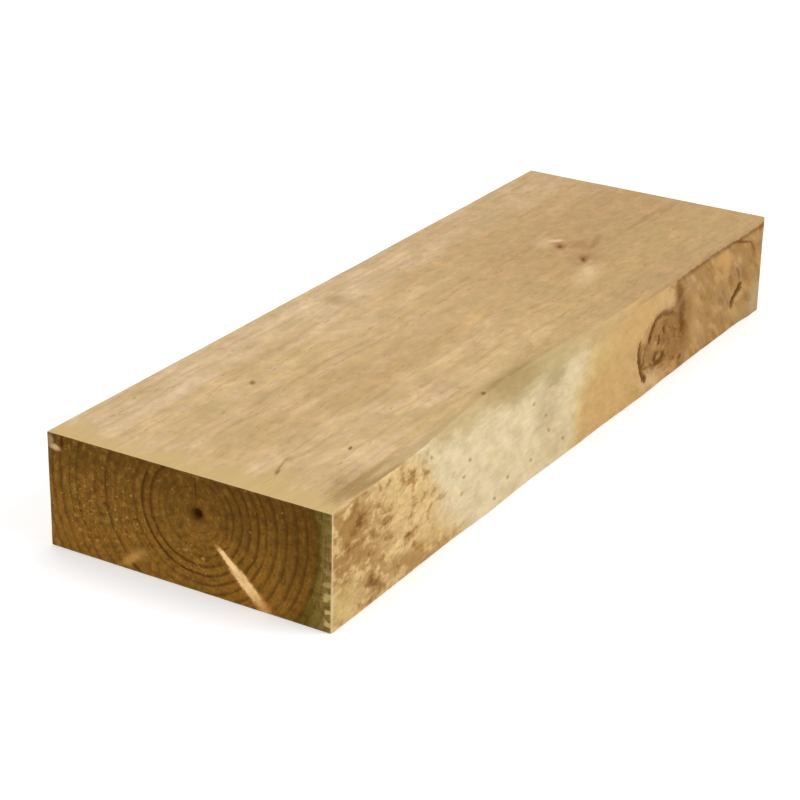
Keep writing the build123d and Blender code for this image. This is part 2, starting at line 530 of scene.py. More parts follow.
def fibres():
    """Wood's lengthwise texture as stretched noises: fine streaks, short soft flecks and scattered fuzz."""
    group, s, inner, outer = new_group("fibres", ("Place",), (), ("Streaks", "Flecks", "Fuzz"))
    s.give(outer["Streaks"], s.noise(inner["Place"], (1.7, 50, 1.7), 2))
    s.give(outer["Flecks"], s.noise(inner["Place"], (3.4, 13, 3.4), 2, 0.6, 7))
    s.give(outer["Fuzz"], s.noise(inner["Place"], (2.6, 4.8, 2.6), 2, 0.5, 3))
    return group


def zone():
    """1 inside an ellipsoid and 0 outside, with a ragged edge: the length of the turned, scaled offset."""
    vectors = ("Place", "Middle", "Half Size", "Axis", "Lump")
    numbers = ("Turn", "Softness", "Raggedness")
    group, s, inner, outer = new_group("zone", vectors, numbers, ("Share", "Reach"))
    offset = s.vector("SUBTRACT", inner["Place"], inner["Middle"])
    rotation = {"Vector": offset, "Axis": inner["Axis"], "Angle": s.times(inner["Turn"], -1)}
    turned = s.add("VectorRotate", rotation).outputs[0]
    reach = s.vector("LENGTH", s.vector("DIVIDE", turned, inner["Half Size"]))
    lumps = s.noise(s.vector("DIVIDE", inner["Place"], inner["Lump"]), (1, 1, 1))
    ragged = s.moved(reach, lumps, s.times(inner["Raggedness"], 2))
    outside = s.math("ADD", 1, inner["Softness"])
    inside = s.math("SUBTRACT", 1, inner["Softness"])
    s.give(outer["Share"], s.rise(ragged, outside, inside))
    s.give(outer["Reach"], ragged)
    return group


def specks():
    """Scattered torn spots: where a noise of their size passes a bar, which is lower where they crowd."""
    numbers = ("Size", "Bar", "Crowding", "Seed")
    group, s, inner, outer = new_group("specks", ("Place",), numbers, ("Share",))
    moved = s.scaled(inner["Place"], s.math("DIVIDE", 1, inner["Size"]))
    seeded = s.vector("ADD", moved, s.scaled((7.3, 2.9, 5.1), inner["Seed"]))
    lumps = s.line(inner["Crowding"], 0.1, s.noise(seeded, (1, 1, 1), 2, 0.55))
    s.give(outer["Share"], s.rise(lumps, inner["Bar"], s.math("ADD", inner["Bar"], 0.05)))
    return group


def arris_wear():
    """How much an edge's fibres are rubbed pale: fully within 0.3 mm of the edge, and not past 1.7 mm."""
    group, s, inner, outer = new_group("arris wear", ("Place",), (), ("Rubbed",))
    centred = s.vector("ABSOLUTE", s.vector("SUBTRACT", inner["Place"], (0, 0, thickness / 2)))
    x, y, z = s.parts(s.vector("SUBTRACT", (half_width, half_length, thickness / 2), centred))
    second = s.math("MAXIMUM", s.math("MINIMUM", x, y), s.math("MINIMUM", s.math("MAXIMUM", x, y), z))
    uneven = s.rise(s.noise(inner["Place"], (6, 6, 6)), 0.35, 0.65)
    s.give(outer["Rubbed"], s.times(s.rise(second, 1.7, 0.3), uneven))
    return group


rings_group = growth_rings()
fibres_group = fibres()
zone_group = zone()
specks_group = specks()
wear_group = arris_wear()


def mark(s, face, spot, half, turn=0, softness=0.45, raggedness=0.6, lump=(3, 12, 3)):
    """A zone on one face, at a spot with two places on it: along (across, on the ends) and the other one."""
    along, other = spot
    long, wide = half
    middle, size, axis = {
        "top": ((other, along - half_length, thickness), (wide, long, 22), UP),
        "bed": ((other, along - half_length, 0), (wide, long, 22), UP),
        "back": ((-half_width, along - half_length, other), (22, long, wide), ACROSS),
        "natural": ((half_width, along - half_length, other), (30, long, wide), ACROSS),
        "near": ((along, -half_length, other), (long, 70, wide), ALONG),
        "far": ((along, half_length, other), (long, 70, wide), ALONG),
    }[face]
    where = {"Place": s.here, "Middle": middle, "Half_Size": size, "Axis": axis, "Turn": math.radians(turn)}
    return s.use(zone_group, **where, Softness=softness, Raggedness=raggedness, Lump=lump)


def paint_marks(s, face, marks, softness=0.6):
    """Paints one face's marks in turn; each is a paint, strength, spot, half size and perhaps a turn."""
    for paint, strength, spot, half, *turn in marks:
        s.paint(paint, mark(s, face, spot, half, *turn, softness=softness)["Share"], strength)


def new_material(name):
    """An empty node material and the shading that writes it."""
    material = bpy.data.materials.new(name)
    material.use_nodes = True
    material.node_tree.nodes.clear()
    return material, Shading(material.node_tree)


def finish_wood(s, roughness, gloss, relief, relief_depth):
    """Ends a finish: colour, roughness and relief go to one shader, with the little gloss that wood has."""
    bump = s.add("Bump", {"Height": relief, "Distance": relief_depth * mm, "Strength": 1.0})
    inputs = {"Base Color": s.colour, "Roughness": roughness, "Specular IOR Level": gloss}
    surface = s.add("BsdfPrincipled", {**inputs, "Normal": bump.outputs[0]})
    s.add("OutputMaterial", {"Surface": surface.outputs[0]})


# The cross-cut ends
# End grain drinks the treatment, so it is far darker than the faces: olive brown, with each year's dark
# line, torn pale specks from the saw, a spike knot that runs out from the heart, and greener sapwood.

end_olive = tone(130, 93, 33)
end_warm = tone(143, 97, 34)
end_dark = tone(96, 64, 16)
end_late = tone(72, 43, 6)
end_speck = tone(173, 134, 70)
end_pit = tone(57, 32, 5)
sapwood_green = tone(96, 82, 26)
sapwood_pale = tone(132, 108, 54)
# Pale of torn fibres; also the painted highlight down the ends' edge by the natural side.
torn_and_highlight_pale = tone(212, 186, 122)
spike_cream = tone(252, 212, 148)
spike_edge = tone(173, 121, 54)
orange = tone(198, 145, 73)
pith_dark = tone(74, 36, 10)
spike_foot = tone(214, 150, 84)
chip_pale = tone(205, 173, 123)
chip_edge = tone(173, 141, 91)
tooth_pitch = 8.2  # between the tears that the saw's teeth left at the bark side

spike_streaks = (((41.8, 14.4), (16.5, 3.5)), ((30.6, 25.4), (10.5, 2)))  # middle and half size of each
spike_turn = 43.1

# Marks are a paint, strength, middle, half size and, where they are turned, the degrees.
# On the near end: resin beside the spike knot, the chip at the corner, and cracks.
near_end_marks = (
    (orange, 0.85, (-40, 7.5), (8, 2.6), -38),
    (orange, 0.35, (-34, 12), (7, 4), -10),
    (spike_foot, 0.65, (52.5, 4.2), (9, 4), spike_turn),
    (chip_pale, 1, (-94.6, 66), (3.8, 1.7), 8),
    (chip_edge, 0.8, (-97.8, 70), (2, 3.4)),
    (end_pit, 0.7, (-89, 70.5), (1.2, 3.6)),
    (end_pit, 0.6, (7.6, 66), (0.5, 9), -3),
    (end_warm, 0.35, (-86, 12), (10, 9), 20),
)
# On the far end: a check and a small resin patch.
far_end_marks = (
    (end_pit, 0.9, (-30, 52), (30, 0.7), 12),
    (orange, 0.5, (52, 61), (9, 3), -30),
)


def end_grain():
    """The finish of both cross-cut ends."""
    material, s = new_material("end_grain")
    place = s.place()
    x, _, z = s.parts(place)
    late_wood, _, radius = s.use(rings_group, Place=place, Wander=1.6, Wobble=2.6)
    blotch = s.noise(place, (19, 60, 19))
    cells = s.noise(place, (4.4, 16, 4.4), 3, 0.6)
    grit = s.noise(place, (1.7, 9, 1.7), 2, 0.6, 5)
    lumpy = s.rise(x, 50, -20)
    s.colour = s.blend(s.rise(blotch, 0.36, 0.64), end_olive, end_warm)
    upward = s.line(x, 0.06, z)
    s.wash(end_dark, upward, 22, 78, 0.85)
    s.wash(end_dark, x, 62, 82, 0.5)
    sap_edge = s.moved(radius, blotch, 5)
    sap = s.times(s.rise(sap_edge, 80, 85), s.rise(x, 60, 85))
    smear = s.noise(place, (3, 30, 22), 2, shift=14)
    paler = s.moved(x, smear, 16)
    lower = s.line(z, -0.13, paler)
    sap_tone = s.blend(s.rise(lower, 82, 92), sapwood_green, sapwood_pale)
    s.paint(sap_tone, sap, 0.9)
    pale_lumps = s.times(s.rise(cells, 0.5, 0.7), s.line(lumpy, 0.15, 0.2))
    s.paint(end_speck, pale_lumps)
    s.wash(end_late, cells, 0.49, 0.33, 0.42)
    s.shade(grit, 0.9)
    s.colour = s.scaled(s.colour, s.math("ADD", 1, s.rise(z, 34, 6, top=0.14)))
    broken = s.rise(s.noise(place, (8, 50, 8), shift=2), 0.2, 0.5, top=0.85)
    s.paint(end_late, late_wood, broken)
    crowd = mark(s, "near", (6, 20), (17, 14), 0, 0.8)["Share"]
    crowd = s.math("MAXIMUM", crowd, mark(s, "near", (-62, 30), (34, 26), 0, 0.8)["Share"])
    flat = s.vector("MULTIPLY", place, (1, 0.2, 1))
    torn = s.use(specks_group, Place=flat, Size=3, Bar=0.7, Crowding=crowd, Seed=1)["Share"]
    s.paint(end_speck, torn, 0.8)
    pits = s.use(specks_group, Place=flat, Size=2.4, Bar=0.71, Crowding=crowd, Seed=2)["Share"]
    s.paint(end_pit, pits, 0.55)
    low_side = s.rise(z, 46, 12)
    jitter = s.times(s.noise(place, (10, 30, 5), shift=9), 7)
    tooth = s.math("SINE", s.line(z, 2 * math.pi / tooth_pitch, jitter))
    edge_in = s.moved(x, cells, 6)
    tears = s.times(s.rise(tooth, 0, 0.8), s.rise(edge_in, 93.4, 96.2))
    s.paint(torn_and_highlight_pale, tears, s.line(low_side, 0.66, 0.1))
    for spot, half in spike_streaks:
        streak = mark(s, "near", spot, half, spike_turn, 0.3, 0.5, (2, 12, 2))
        s.wash(spike_edge, streak["Reach"], 1.9, 0.8, 0.5)
        s.paint(s.shaded(spike_cream[:3], cells, 0.6), streak["Share"])
    paint_marks(s, "near", near_end_marks)
    paint_marks(s, "far", far_end_marks)
    s.wash(end_late, radius, 7, 3, 0.75)
    s.wash(pith_dark, radius, 3.4, 2.2)
    rubbed = s.use(wear_group, Place=place)["Rubbed"]
    # Painted highlight: a pale line down each end's edge by the natural side, on its lower part, with a
    # little rubbed wear on every edge.
    painted_edge_highlight = s.times(s.rise(x, 98.7, 99.5, top=0.8), low_side)
    s.paint(torn_and_highlight_pale, s.math("MAXIMUM", painted_edge_highlight, s.times(rubbed, 0.1)))
    saw = s.noise(place, (1.4, 30, 26), 2, shift=4)
    relief = s.layers((cells, 0.8), (late_wood, 0.25), (saw, 0.35), (grit, 0.3))
    finish_wood(s, s.rise(cells, 0.1, 0.7, top=0.95), 0.04, relief, 0.6)
    return material


timber.data.materials.append(end_grain())

# The sawn faces
# Top, bed and back are straight off the bandsaw: tan, with the rings drawn out into lengthwise streaks,
# faint marks of the blade across them, two small knots in the top, and stains where bark and dirt lay.

face_tan = tone(206, 176, 129)
face_pink = tone(212, 183, 147)
face_yellow = tone(200, 170, 116)
face_late = tone(168, 132, 84)
face_fleck = tone(146, 111, 65)
face_far = tone(182, 148, 104)
face_heart = tone(188, 150, 102)
face_olive = tone(188, 155, 104)
face_pale = tone(230, 204, 160)
knot_dark = tone(92, 56, 22)
knot_brown = tone(142, 98, 54)
halo_brown = tone(164, 120, 78)
stain_brown = tone(148, 116, 66)
stain_green = tone(150, 134, 84)
far_brown = tone(178, 144, 102)
far_edge_brown = tone(178, 145, 104)
near_yellow = tone(202, 173, 115)
knot_light = tone(232, 200, 158)
patch_light = tone(220, 188, 142)
patch_bright = tone(232, 202, 156)
edge_dull = tone(188, 162, 114)
edge_speck = tone(100, 76, 36)

top_knots = (((455, 1.9), (3.6, 1.8)), ((439.8, 28.6), (4.8, 2)))  # middle and half size of each

# Long dull streaks of the top, browner at its far end and along the natural side.
top_streaks = (
    (face_heart, 0.5, (360, 4), (270, 34)),
    (face_olive, 0.75, (480, 72), (170, 46)),
    (face_olive, 0.7, (290, 88), (120, 14)),
    (far_brown, 0.55, (560, 10), (80, 40)),
    (far_edge_brown, 0.8, (450, 88), (90, 14)),
    (face_heart, 0.5, (200, 20), (115, 8)),
    (face_late, 0.3, (150, 3), (80, 4)),
    (face_heart, 0.35, (260, 52), (140, 6), 1),
    (face_heart, 0.2, (75, -24), (60, 6), -2),
    (face_heart, 0.4, (150, -58), (80, 6), 1),
    (face_heart, 0.5, (320, -52), (70, 8), 2),
    (face_heart, 0.4, (470, -50), (90, 8), -2),
)
# What lies round the top's knots, its bark specks and pale patches, and stains at its edge.
top_marks = (
    (halo_brown, 0.55, (441, 29.5), (16, 10.5), 14),
    (face_tan, 0.4, (437, 31), (5, 5), 14),
    (halo_brown, 0.5, (455, 2), (8.5, 4.5), 25),
    (halo_brown, 0.6, (466, 12.5), (9.5, 8.5), 20),
    (stain_brown, 0.6, (479, 18.5), (15, 2.8), 16),
    (knot_light, 0.65, (463.8, -6), (5.5, 2.6), -42),
    (face_pale, 0.25, (455, -12.5), (14, 6), 15),
    (patch_light, 0.5, (414, 45), (24, 8.5), 14),
    (patch_bright, 0.35, (421, 42.5), (9, 4), 30),
    (knot_brown, 0.35, (446, 28.6), (3.4, 2.2), 10),
    (knot_brown, 0.85, (126.5, -40.7), (3.2, 1.9), 30),
    (face_fleck, 0.85, (28.5, 44.6), (4, 1.1), 20),
    (face_fleck, 0.55, (38, 41), (9, 0.9), 15),
    (face_fleck, 0.4, (47, 40), (4, 2.2)),
    (knot_dark, 0.85, (78.5, 61.8), (2.8, 1), 16),
    (stain_brown, 0.45, (38, 84), (20, 7), 6),
    (stain_brown, 0.6, (50, 89), (34, 2.6), 1),
    (stain_brown, 0.7, (34, 95), (20, 3.6)),
    (stain_brown, 0.7, (60, 97.2), (22, 1.5)),
    (stain_green, 0.6, (222, 87), (44, 4)),
    (stain_green, 0.5, (262, 92), (40, 4)),
    (stain_green, 0.35, (130, 93), (50, 5)),
    (edge_dull, 0.6, (210, 98), (130, 12)),
    (edge_speck, 0.8, (191.5, 87), (2.6, 1.4), 20),
    (stain_brown, 0.45, (234, 89), (16, 4.4), 3),
    (stain_brown, 0.45, (209, 87), (11, 2.6), 3),
    (stain_brown, 0.35, (545, 27), (24, 2.4)),
    (stain_brown, 0.3, (575, 31), (16, 2.2), 1),
    (stain_brown, 0.35, (275, -73), (9, 8)),
)
# A small knot and a stain on the back, and on the bed.
back_marks = (
    (halo_brown, 0.6, (186, 44), (9, 6)),
    (knot_dark, 0.95, (186, 44), (3.2, 2.4)),
    (stain_brown, 0.4, (405, 20), (40, 5), 3),
)
bed_marks = (
    (halo_brown, 0.6, (330, -42), (12, 8)),
    (knot_dark, 0.95, (330, -42), (3.6, 2.8)),
    (stain_brown, 0.35, (140, 30), (60, 14), -4),
)


def grain_round_knots(s, place, knots):
    """The place drawn in towards each knot's line, so that the grain is laid out round the knot."""
    bent = place
    zones = []
    for spot, half in knots:
        knot = mark(s, "top", spot, half, 30, 0.4, 0.4, (2.5, 3.5, 2.5))
        zones.append(knot)
        middle = (spot[1], spot[0] - half_length, thickness)
        inwards = s.vector("MULTIPLY", s.vector("SUBTRACT", place, middle), (-0.85, 0, 0))
        bent = s.vector("ADD", bent, s.scaled(inwards, s.rise(knot["Reach"], 5, 0.6)))
    return bent, zones


def swayed(s, place, size, most, shift=0):
    """The place moved across and up by a slow noise, so that straight grain waves."""
    noise = s.vector("SUBTRACT", s.noise(place, size, 2, shift=shift, colour=True), (0.5, 0.5, 0.5))
    return s.vector("ADD", place, s.vector("MULTIPLY", noise, (2 * most, 0, 2 * most)))


def sawn_face():
    """The finish of the three sawn long faces."""
    material, s = new_material("sawn_face")
    place = s.place()
    x, y, _ = s.parts(place)
    along = s.math("ADD", y, half_length)
    bent, knots = grain_round_knots(s, place, top_knots)
    bent = swayed(s, bent, (60, 110, 60), 4.5)
    bent = swayed(s, bent, (13, 30, 13), 2.2, 5)
    late_wood, band, _ = s.use(rings_group, Place=bent, Wander=4, Wobble=2.4)
    streaks, flecks, fuzz = s.use(fibres_group, Place=bent)
    broad = s.noise(bent, (11, 170, 11))
    s.colour = s.blend(s.rise(x, -38, -72, top=0.8), face_tan, face_pink)
    s.wash(face_pink, band, 0.4, 0.62, 0.5)
    s.wash(face_yellow, broad, 0.42, 0.6, 0.65)
    pinker = s.noise(bent, (7, 75, 7), 2, shift=13)
    s.wash(face_pink, pinker, 0.5, 0.66, 0.55)
    s.wash(face_pink, x, -45, -75, 0.4)
    righter = s.line(s.rise(x, -80, -10), 0.5, 0.45)
    s.wash(face_far, along, 290, 440, strength=righter)
    paint_marks(s, "top", top_streaks, softness=0.9)
    broken = s.rise(s.noise(bent, (7, 50, 7), shift=1), 0.38, 0.6, top=0.5)
    s.paint(face_late, late_wood, broken)
    s.wash(face_late, streaks, 0.5, 0.26, 0.1)
    s.wash(face_pale, streaks, 0.54, 0.78, 0.1)
    s.shade(flecks, 0.2)
    s.shade(fuzz, 0.18)
    cloud = s.noise(place, (15, 38, 15), 3, 0.55, 8)
    s.shade(cloud, 0.7)
    s.wash(face_yellow, cloud, 0.55, 0.42, 0.3)
    dapple = s.noise(place, (9, 13, 9), 3, 0.55, 21)
    s.shade(dapple, 0.4)
    dash = s.noise(bent, (1.9, 9, 1.9), 2, 0.6, 11)
    crowd = s.rise(s.noise(bent, (9, 70, 9), 2, shift=6), 0.45, 0.6)
    s.wash(face_fleck, dash, 0.57, 0.72, 0.5, crowd)
    bright = s.noise(bent, (2.2, 6, 2.2), 2, 0.6, 17)
    s.wash(face_pale, bright, 0.62, 0.76, 0.15)
    near_band = s.moved(along, cloud, 70)
    s.wash(near_yellow, near_band, 27, 5, 0.75)
    paint_marks(s, "top", top_marks)
    paint_marks(s, "back", back_marks)
    paint_marks(s, "bed", bed_marks)
    for knot in knots:
        s.wash(knot_brown, knot["Reach"], 2.6, 0.9, 0.6)
        s.wash(knot_dark, knot["Reach"], 1.3, 0.3, 0.8)
    rubbed = s.use(wear_group, Place=place)["Rubbed"]
    s.paint(face_pale, rubbed, 0.25)
    blade = s.noise(place, (60, 2.6, 60), 1)
    relief = s.layers((blade, 0.2), (streaks, 0.5), (flecks, 0.6), (fuzz, 0.4))
    finish_wood(s, s.rise(streaks, 0, 0.8, top=0.88), 0.04, relief, 0.3)
    return material


timber.data.materials.append(sawn_face())

# The natural side
# Under the bark the log is smooth and cream where the bast came off clean, brown where shreds of it stay,
# and orange to brown towards the branch scar, whose crevices still hold bark.

log_cream = tone(230, 211, 173)
log_buff = tone(218, 197, 155)
log_tan = tone(218, 184, 130)
log_orange = tone(203, 165, 108)
log_brown = tone(170, 131, 79)
bast_brown = tone(166, 124, 68)
bast_dark = tone(114, 77, 32)
bark_dark = tone(84, 54, 18)
shoulder_olive = tone(197, 173, 126)
shoulder_tan = tone(200, 169, 119)
shoulder_dark = tone(178, 154, 106)
scar_brown = tone(149, 107, 58)
# Dark of the scar's rims and folds; also the painted shadow under the top edge past the scar.
scar_dark_and_shadow = tone(112, 72, 26)
scar_pale = tone(206, 166, 106)
speck_green = tone(148, 130, 88)
log_yellow = tone(210, 182, 118)
flame_pale = tone(198, 157, 101)
flame_dark = tone(150, 110, 61)
above_scar_tan = tone(208, 168, 112)
above_scar_pale = tone(210, 172, 120)
under_scar_tan = tone(206, 160, 108)
under_scar_pale = tone(216, 182, 132)
far_gold = tone(204, 158, 96)
far_amber = tone(200, 155, 94)
far_tan = tone(192, 154, 100)
pocket_pale = tone(200, 164, 110)
far_foot = tone(182, 152, 98)
far_corner_gold = tone(196, 158, 92)
far_strip_tan = tone(188, 162, 120)
far_corner_rust = tone(160, 108, 46)
fold_tan = tone(188, 142, 86)
eye_brown = tone(172, 128, 74)
arch_brown = tone(172, 124, 76)
spot_brown = tone(158, 130, 84)
bast_light = tone(232, 198, 138)
edge_highlight_pale = tone(230, 208, 164)

# Bast left near the end, stains below the shoulder, and the paler wood round the scar.
log_marks = (
    (log_yellow, 0.5, (84, 57), (26, 12)),
    (bast_brown, 0.8, (22, 50), (27, 27), 10),
    (bast_brown, 0.7, (8, 48), (13, 24)),
    (bast_brown, 0.6, (46, 20), (20, 19), -30),
    (bast_brown, 0.3, (60, 42), (18, 10), -10),
    (bast_brown, 0.75, (94, 7), (34, 10), -4),
    (bast_brown, 0.4, (140, 2), (20, 4)),
    (log_yellow, 0.4, (124, 12), (22, 8)),
    (stain_green, 0.5, (271, 63), (12, 8)),
    (stain_brown, 0.28, (258, 44), (15, 20), 10),
    (stain_brown, 0.2, (268, 14), (20, 10)),
    (stain_brown, 0.4, (214, 68), (20, 7), -10),
    (log_yellow, 0.4, (334, 58), (20, 10)),
    (above_scar_tan, 0.5, (400, 57), (22, 10), -15),
    (above_scar_pale, 0.75, (437, 58), (17, 6), -30),
    (under_scar_tan, 0.7, (441, 9), (12, 5), -10),
    (under_scar_pale, 0.85, (416, 10), (17, 8), -8),
)
# The scar's brown and dark rims, and the patches between it and the far end.
scar_marks = (
    (scar_brown, 0.6, (397.5, 26), (4.5, 17), 23),
    (scar_brown, 0.55, (415.5, 46), (4, 9), -40),
    (scar_brown, 0.5, (436, 50), (14, 4), -10),
    (scar_brown, 0.85, (460, 40), (11, 30), 14),
    (scar_dark_and_shadow, 0.8, (462.6, 31), (4.4, 9)),
    (scar_dark_and_shadow, 0.75, (461.4, 44), (4.4, 9), 8),
    (scar_dark_and_shadow, 0.75, (452, 62), (5.2, 10), 32),
    (scar_dark_and_shadow, 0.7, (410, 18.4), (12, 1.1), -10),
    (scar_dark_and_shadow, 0.7, (428, 15.2), (9, 1.1), -6),
    (scar_dark_and_shadow, 0.8, (460.6, 9.4), (2.6, 2)),
    (scar_pale, 0.3, (482, 38), (6, 16), -4),
    (far_gold, 0.75, (531, 61), (17, 6.5), -17),
    (far_amber, 0.6, (537, 50), (5, 9), 8),
    (far_tan, 0.4, (495, 15), (20, 6), -30),
    (scar_dark_and_shadow, 0.7, (561.2, 41), (2, 6.6), 34),
    (pocket_pale, 0.5, (566, 22), (9, 3.6), 10),
    (far_foot, 0.5, (572, 8), (26, 8)),
    (scar_dark_and_shadow, 0.75, (560.5, 66.6), (17, 1.1), -16.1),
    (scar_dark_and_shadow, 0.65, (580.5, 57.6), (7.5, 1.2), -44.3),
    (far_corner_gold, 0.25, (583, 66), (10, 5), -14),
    (far_strip_tan, 0.6, (592, 12), (9, 13)),
    (far_corner_rust, 0.8, (593.5, 70), (5, 4.5)),
)
# Paler folds inside the scar, and bark in its deepest spots.
scar_details = (
    (fold_tan, 0.6, (427.5, 26.5), (11, 2.2), -18.4),
    (eye_brown, 0.5, (430, 19.5), (4.5, 3.4)),
    (arch_brown, 0.5, (424, 42), (8, 5), -30),
    (bark_dark, 0.75, (404.6, 11.6), (2.8, 2.8)),
    (bark_dark, 0.75, (423, 21.4), (2.4, 3.6)),
    (bark_dark, 0.7, (436.4, 18), (2.4, 3.4)),
    (bark_dark, 0.75, (428.6, 31.8), (1.8, 3.2), -15),
    (bark_dark, 0.5, (436, 37.4), (1.6, 4.2), 26),
)
# Darker places on the shoulder, under the top's edge.
shoulder_marks = (
    (shoulder_dark, 0.6, (248, 75), (75, 11)),
    (stain_brown, 0.45, (226, 74), (26, 6)),
)
# Single torn spots on the cream wood.
torn_spots = ((239, 52.6), (256.7, 38.3), (260.4, 26.9), (280.9, 13.5), (237.3, 14.5), (157.6, 45.8))
torn_spots += ((149, 26.4), (206.6, 14.8), (189.9, 6.6), (150.7, 37.2), (110.5, 65.8))
# Clots of bast near the end: middle, half size and turn.
bast_clots = (
    ((24, 54), (13, 19), 0),
    ((48, 14), (9, 17), 30),
    ((60, 47), (7, 6), 0),
    ((87, 25), (7, 4), 0),
    ((84, 62), (9, 5), 0),
)


def natural_side():
    """The finish of the debarked side."""
    material, s = new_material("natural_side")
    place = s.place()
    _, y, z = s.parts(place)
    along = s.math("ADD", y, half_length)
    where = s.moved(along, s.noise(place, (22, 26, 16), 4), 64)
    near_edge = s.line(z, 0.6, where)
    far_edge = s.line(z, -0.5, where)
    cloud = s.noise(place, (16, 24, 10), 4, 0.6, 2)
    _, flecks, fuzz = s.use(fibres_group, Place=place)
    mottle = s.noise(place, (5, 6, 5), 4, 0.7)
    s.colour = s.blend(s.rise(cloud, 0.38, 0.62), log_cream, log_buff)
    s.wash(log_tan, near_edge, 150, 128)
    s.wash(log_buff, where, 215, 290, 0.45)
    s.wash(log_yellow, far_edge, 274, 292, 0.7)
    s.wash(log_orange, far_edge, 290, 308)
    s.wash(log_brown, far_edge, 404, 448)
    yellower = s.times(s.rise(cloud, 0.48, 0.34), s.rise(where, 400, 320, top=0.35))
    s.paint(log_yellow, yellower)
    lean = (math.radians(42), 0, 0)
    leaning = s.add("Mapping", {"Vector": place, "Rotation": lean}).outputs[0]
    flames = s.noise(leaning, (20, 24, 8), 3, 0.5, 3)
    past_scar = s.rise(where, 360, 450)
    s.shade(flames, 0.3)
    s.wash(flame_pale, flames, 0.5, 0.66, 0.7, past_scar)
    s.wash(flame_dark, flames, 0.47, 0.33, 0.7, past_scar)
    s.shade(flecks, 0.25)
    s.shade(mottle, 0.25)
    paint_marks(s, "natural", log_marks)
    scar = mark(s, "natural", (431, 30), (34, 21), -6, 0.3, 0.35, (5, 5, 5))
    s.paint(scar_brown, scar["Share"], 0.85)
    paint_marks(s, "natural", scar_marks)
    offset = s.vector("SUBTRACT", place, (half_width, scar_middle[0] - half_length, scar_middle[1]))
    flattened = s.vector("MULTIPLY", offset, (0, 1 / scar_half[0], 1 / scar_half[1]))
    outward = s.vector("NORMALIZE", flattened)
    winding = s.vector("ADD", s.scaled(outward, 1.6), s.scaled(UP, s.times(scar["Reach"], 7)))
    folds = s.noise(winding, (1, 1, 1), 3, 0.6, 4)
    in_scar = s.rise(scar["Reach"], 1.35, 0.9)
    s.wash(scar_dark_and_shadow, folds, 0.52, 0.66, 0.8, in_scar)
    s.wash(scar_pale, folds, 0.46, 0.34, 0.5, in_scar)
    paint_marks(s, "natural", scar_details)
    high = s.moved(z, mottle, 6)
    above = s.moved(high, cloud, 26)
    shoulder = s.times(s.rise(above, 62, 73), s.rise(where, 392, 364, top=0.95))
    shoulder = s.times(shoulder, s.rise(where, 96, 124))
    shoulder_tone = s.blend(s.rise(where, 280, 330), shoulder_olive, shoulder_tan)
    s.paint(s.shaded(shoulder_tone, flecks, 0.5), shoulder)
    paint_marks(s, "natural", shoulder_marks, softness=0.8)
    flat = s.vector("MULTIPLY", place, (0.3, 0.8, 1))
    sparse = s.use(specks_group, Place=flat, Size=3, Bar=0.77, Crowding=s.rise(cloud, 0.5, 0.7), Seed=3)
    s.paint(speck_green, sparse["Share"], s.rise(where, 470, 300, top=0.75))
    for spot in torn_spots:
        torn = mark(s, "natural", spot, (1.8, 1.2), -20, 0.7, 1.1, (1.4, 1.4, 1.4))
        s.paint(spot_brown, torn["Share"], 0.75)
    near = s.rise(near_edge, 170, 132)
    lights = s.noise(place, (8.5, 12.5, 8), 3, 0.55, 9)
    s.wash(bast_light, lights, 0.5, 0.64, 0.75, near)
    density = s.rise(near_edge, 150, 100, top=0.25)
    for spot, half, turn in bast_clots:
        clot = mark(s, "natural", spot, half, turn, 0.9, 0.9)["Share"]
        density = s.math("MAXIMUM", density, clot)
    shreds = s.line(density, 0.17, s.noise(place, (9, 13, 8), 4, 0.6, 5))
    s.wash(bast_brown, shreds, 0.53, 0.68, 0.78, near)
    s.wash(bast_dark, shreds, 0.64, 0.82, 0.85, near)
    clean_corner = mark(s, "natural", (12, 13), (15, 12), softness=0.6)["Share"]
    s.paint(log_yellow, clean_corner, 0.6)
    lumps = s.noise(place, (3.2, 4.8, 3), 3, 0.6, 23)
    s.shade(lumps, s.times(near, 0.6))
    # Painted highlight: a pale band along the near upright edge of this side.
    edge_highlight_reach = s.moved(along, mottle, 2)
    s.wash(edge_highlight_pale, edge_highlight_reach, 2.4, 1, 0.55)
    bark = s.add("Attribute", {}, attribute_name="bark").outputs["Fac"]
    torn_bark = s.moved(bark, mottle, s.rise(bark, 0, 0.3, top=1.4))
    s.wash(scar_dark_and_shadow, torn_bark, 0, 0.5, 0.75)
    s.wash(bark_dark, torn_bark, 0.5, 1.15, 0.7)
    past_wane = s.rise(along, 372, 420)
    step_shadow_span = s.rise(along, 440, 475)
    # Painted shadow: a dark band under the sawn strip at the top edge, past the branch scar, where the log
    # surface steps back.
    s.wash(scar_dark_and_shadow, high, 65.5, 70, 0.6, step_shadow_span)
    top_tone = s.shaded(face_far[:3], flecks, 0.5)
    s.wash(top_tone, high, 70.4, 71.8, strength=past_wane)
    rubbed = s.use(wear_group, Place=place)["Rubbed"]
    s.paint(face_pale, rubbed, s.rise(along, 300, 60, top=0.55))
    scar_folds = s.times(folds, in_scar)
    relief = s.layers((mottle, 0.5), (flecks, 0.5), (scar_folds, 0.9), (fuzz, 0.3))
    finish_wood(s, s.rise(cloud, 0, 0.9, top=0.86), 0.015, relief, 0.5)
    return material


timber.data.materials.append(natural_side())

# The setting
# A pale floor under plain soft studio light, seen from where the photograph was taken.

floor_reach = 6.0
floor_gap = 0.0002  # the floor lies this far under the bed
floor_white = (0.82, 0.82, 0.82, 1.0)
floor_glow = 0.36
pure_white = (1.0, 1.0, 1.0, 1.0)
lamp_target = (0.0, 0.0, 0.04)

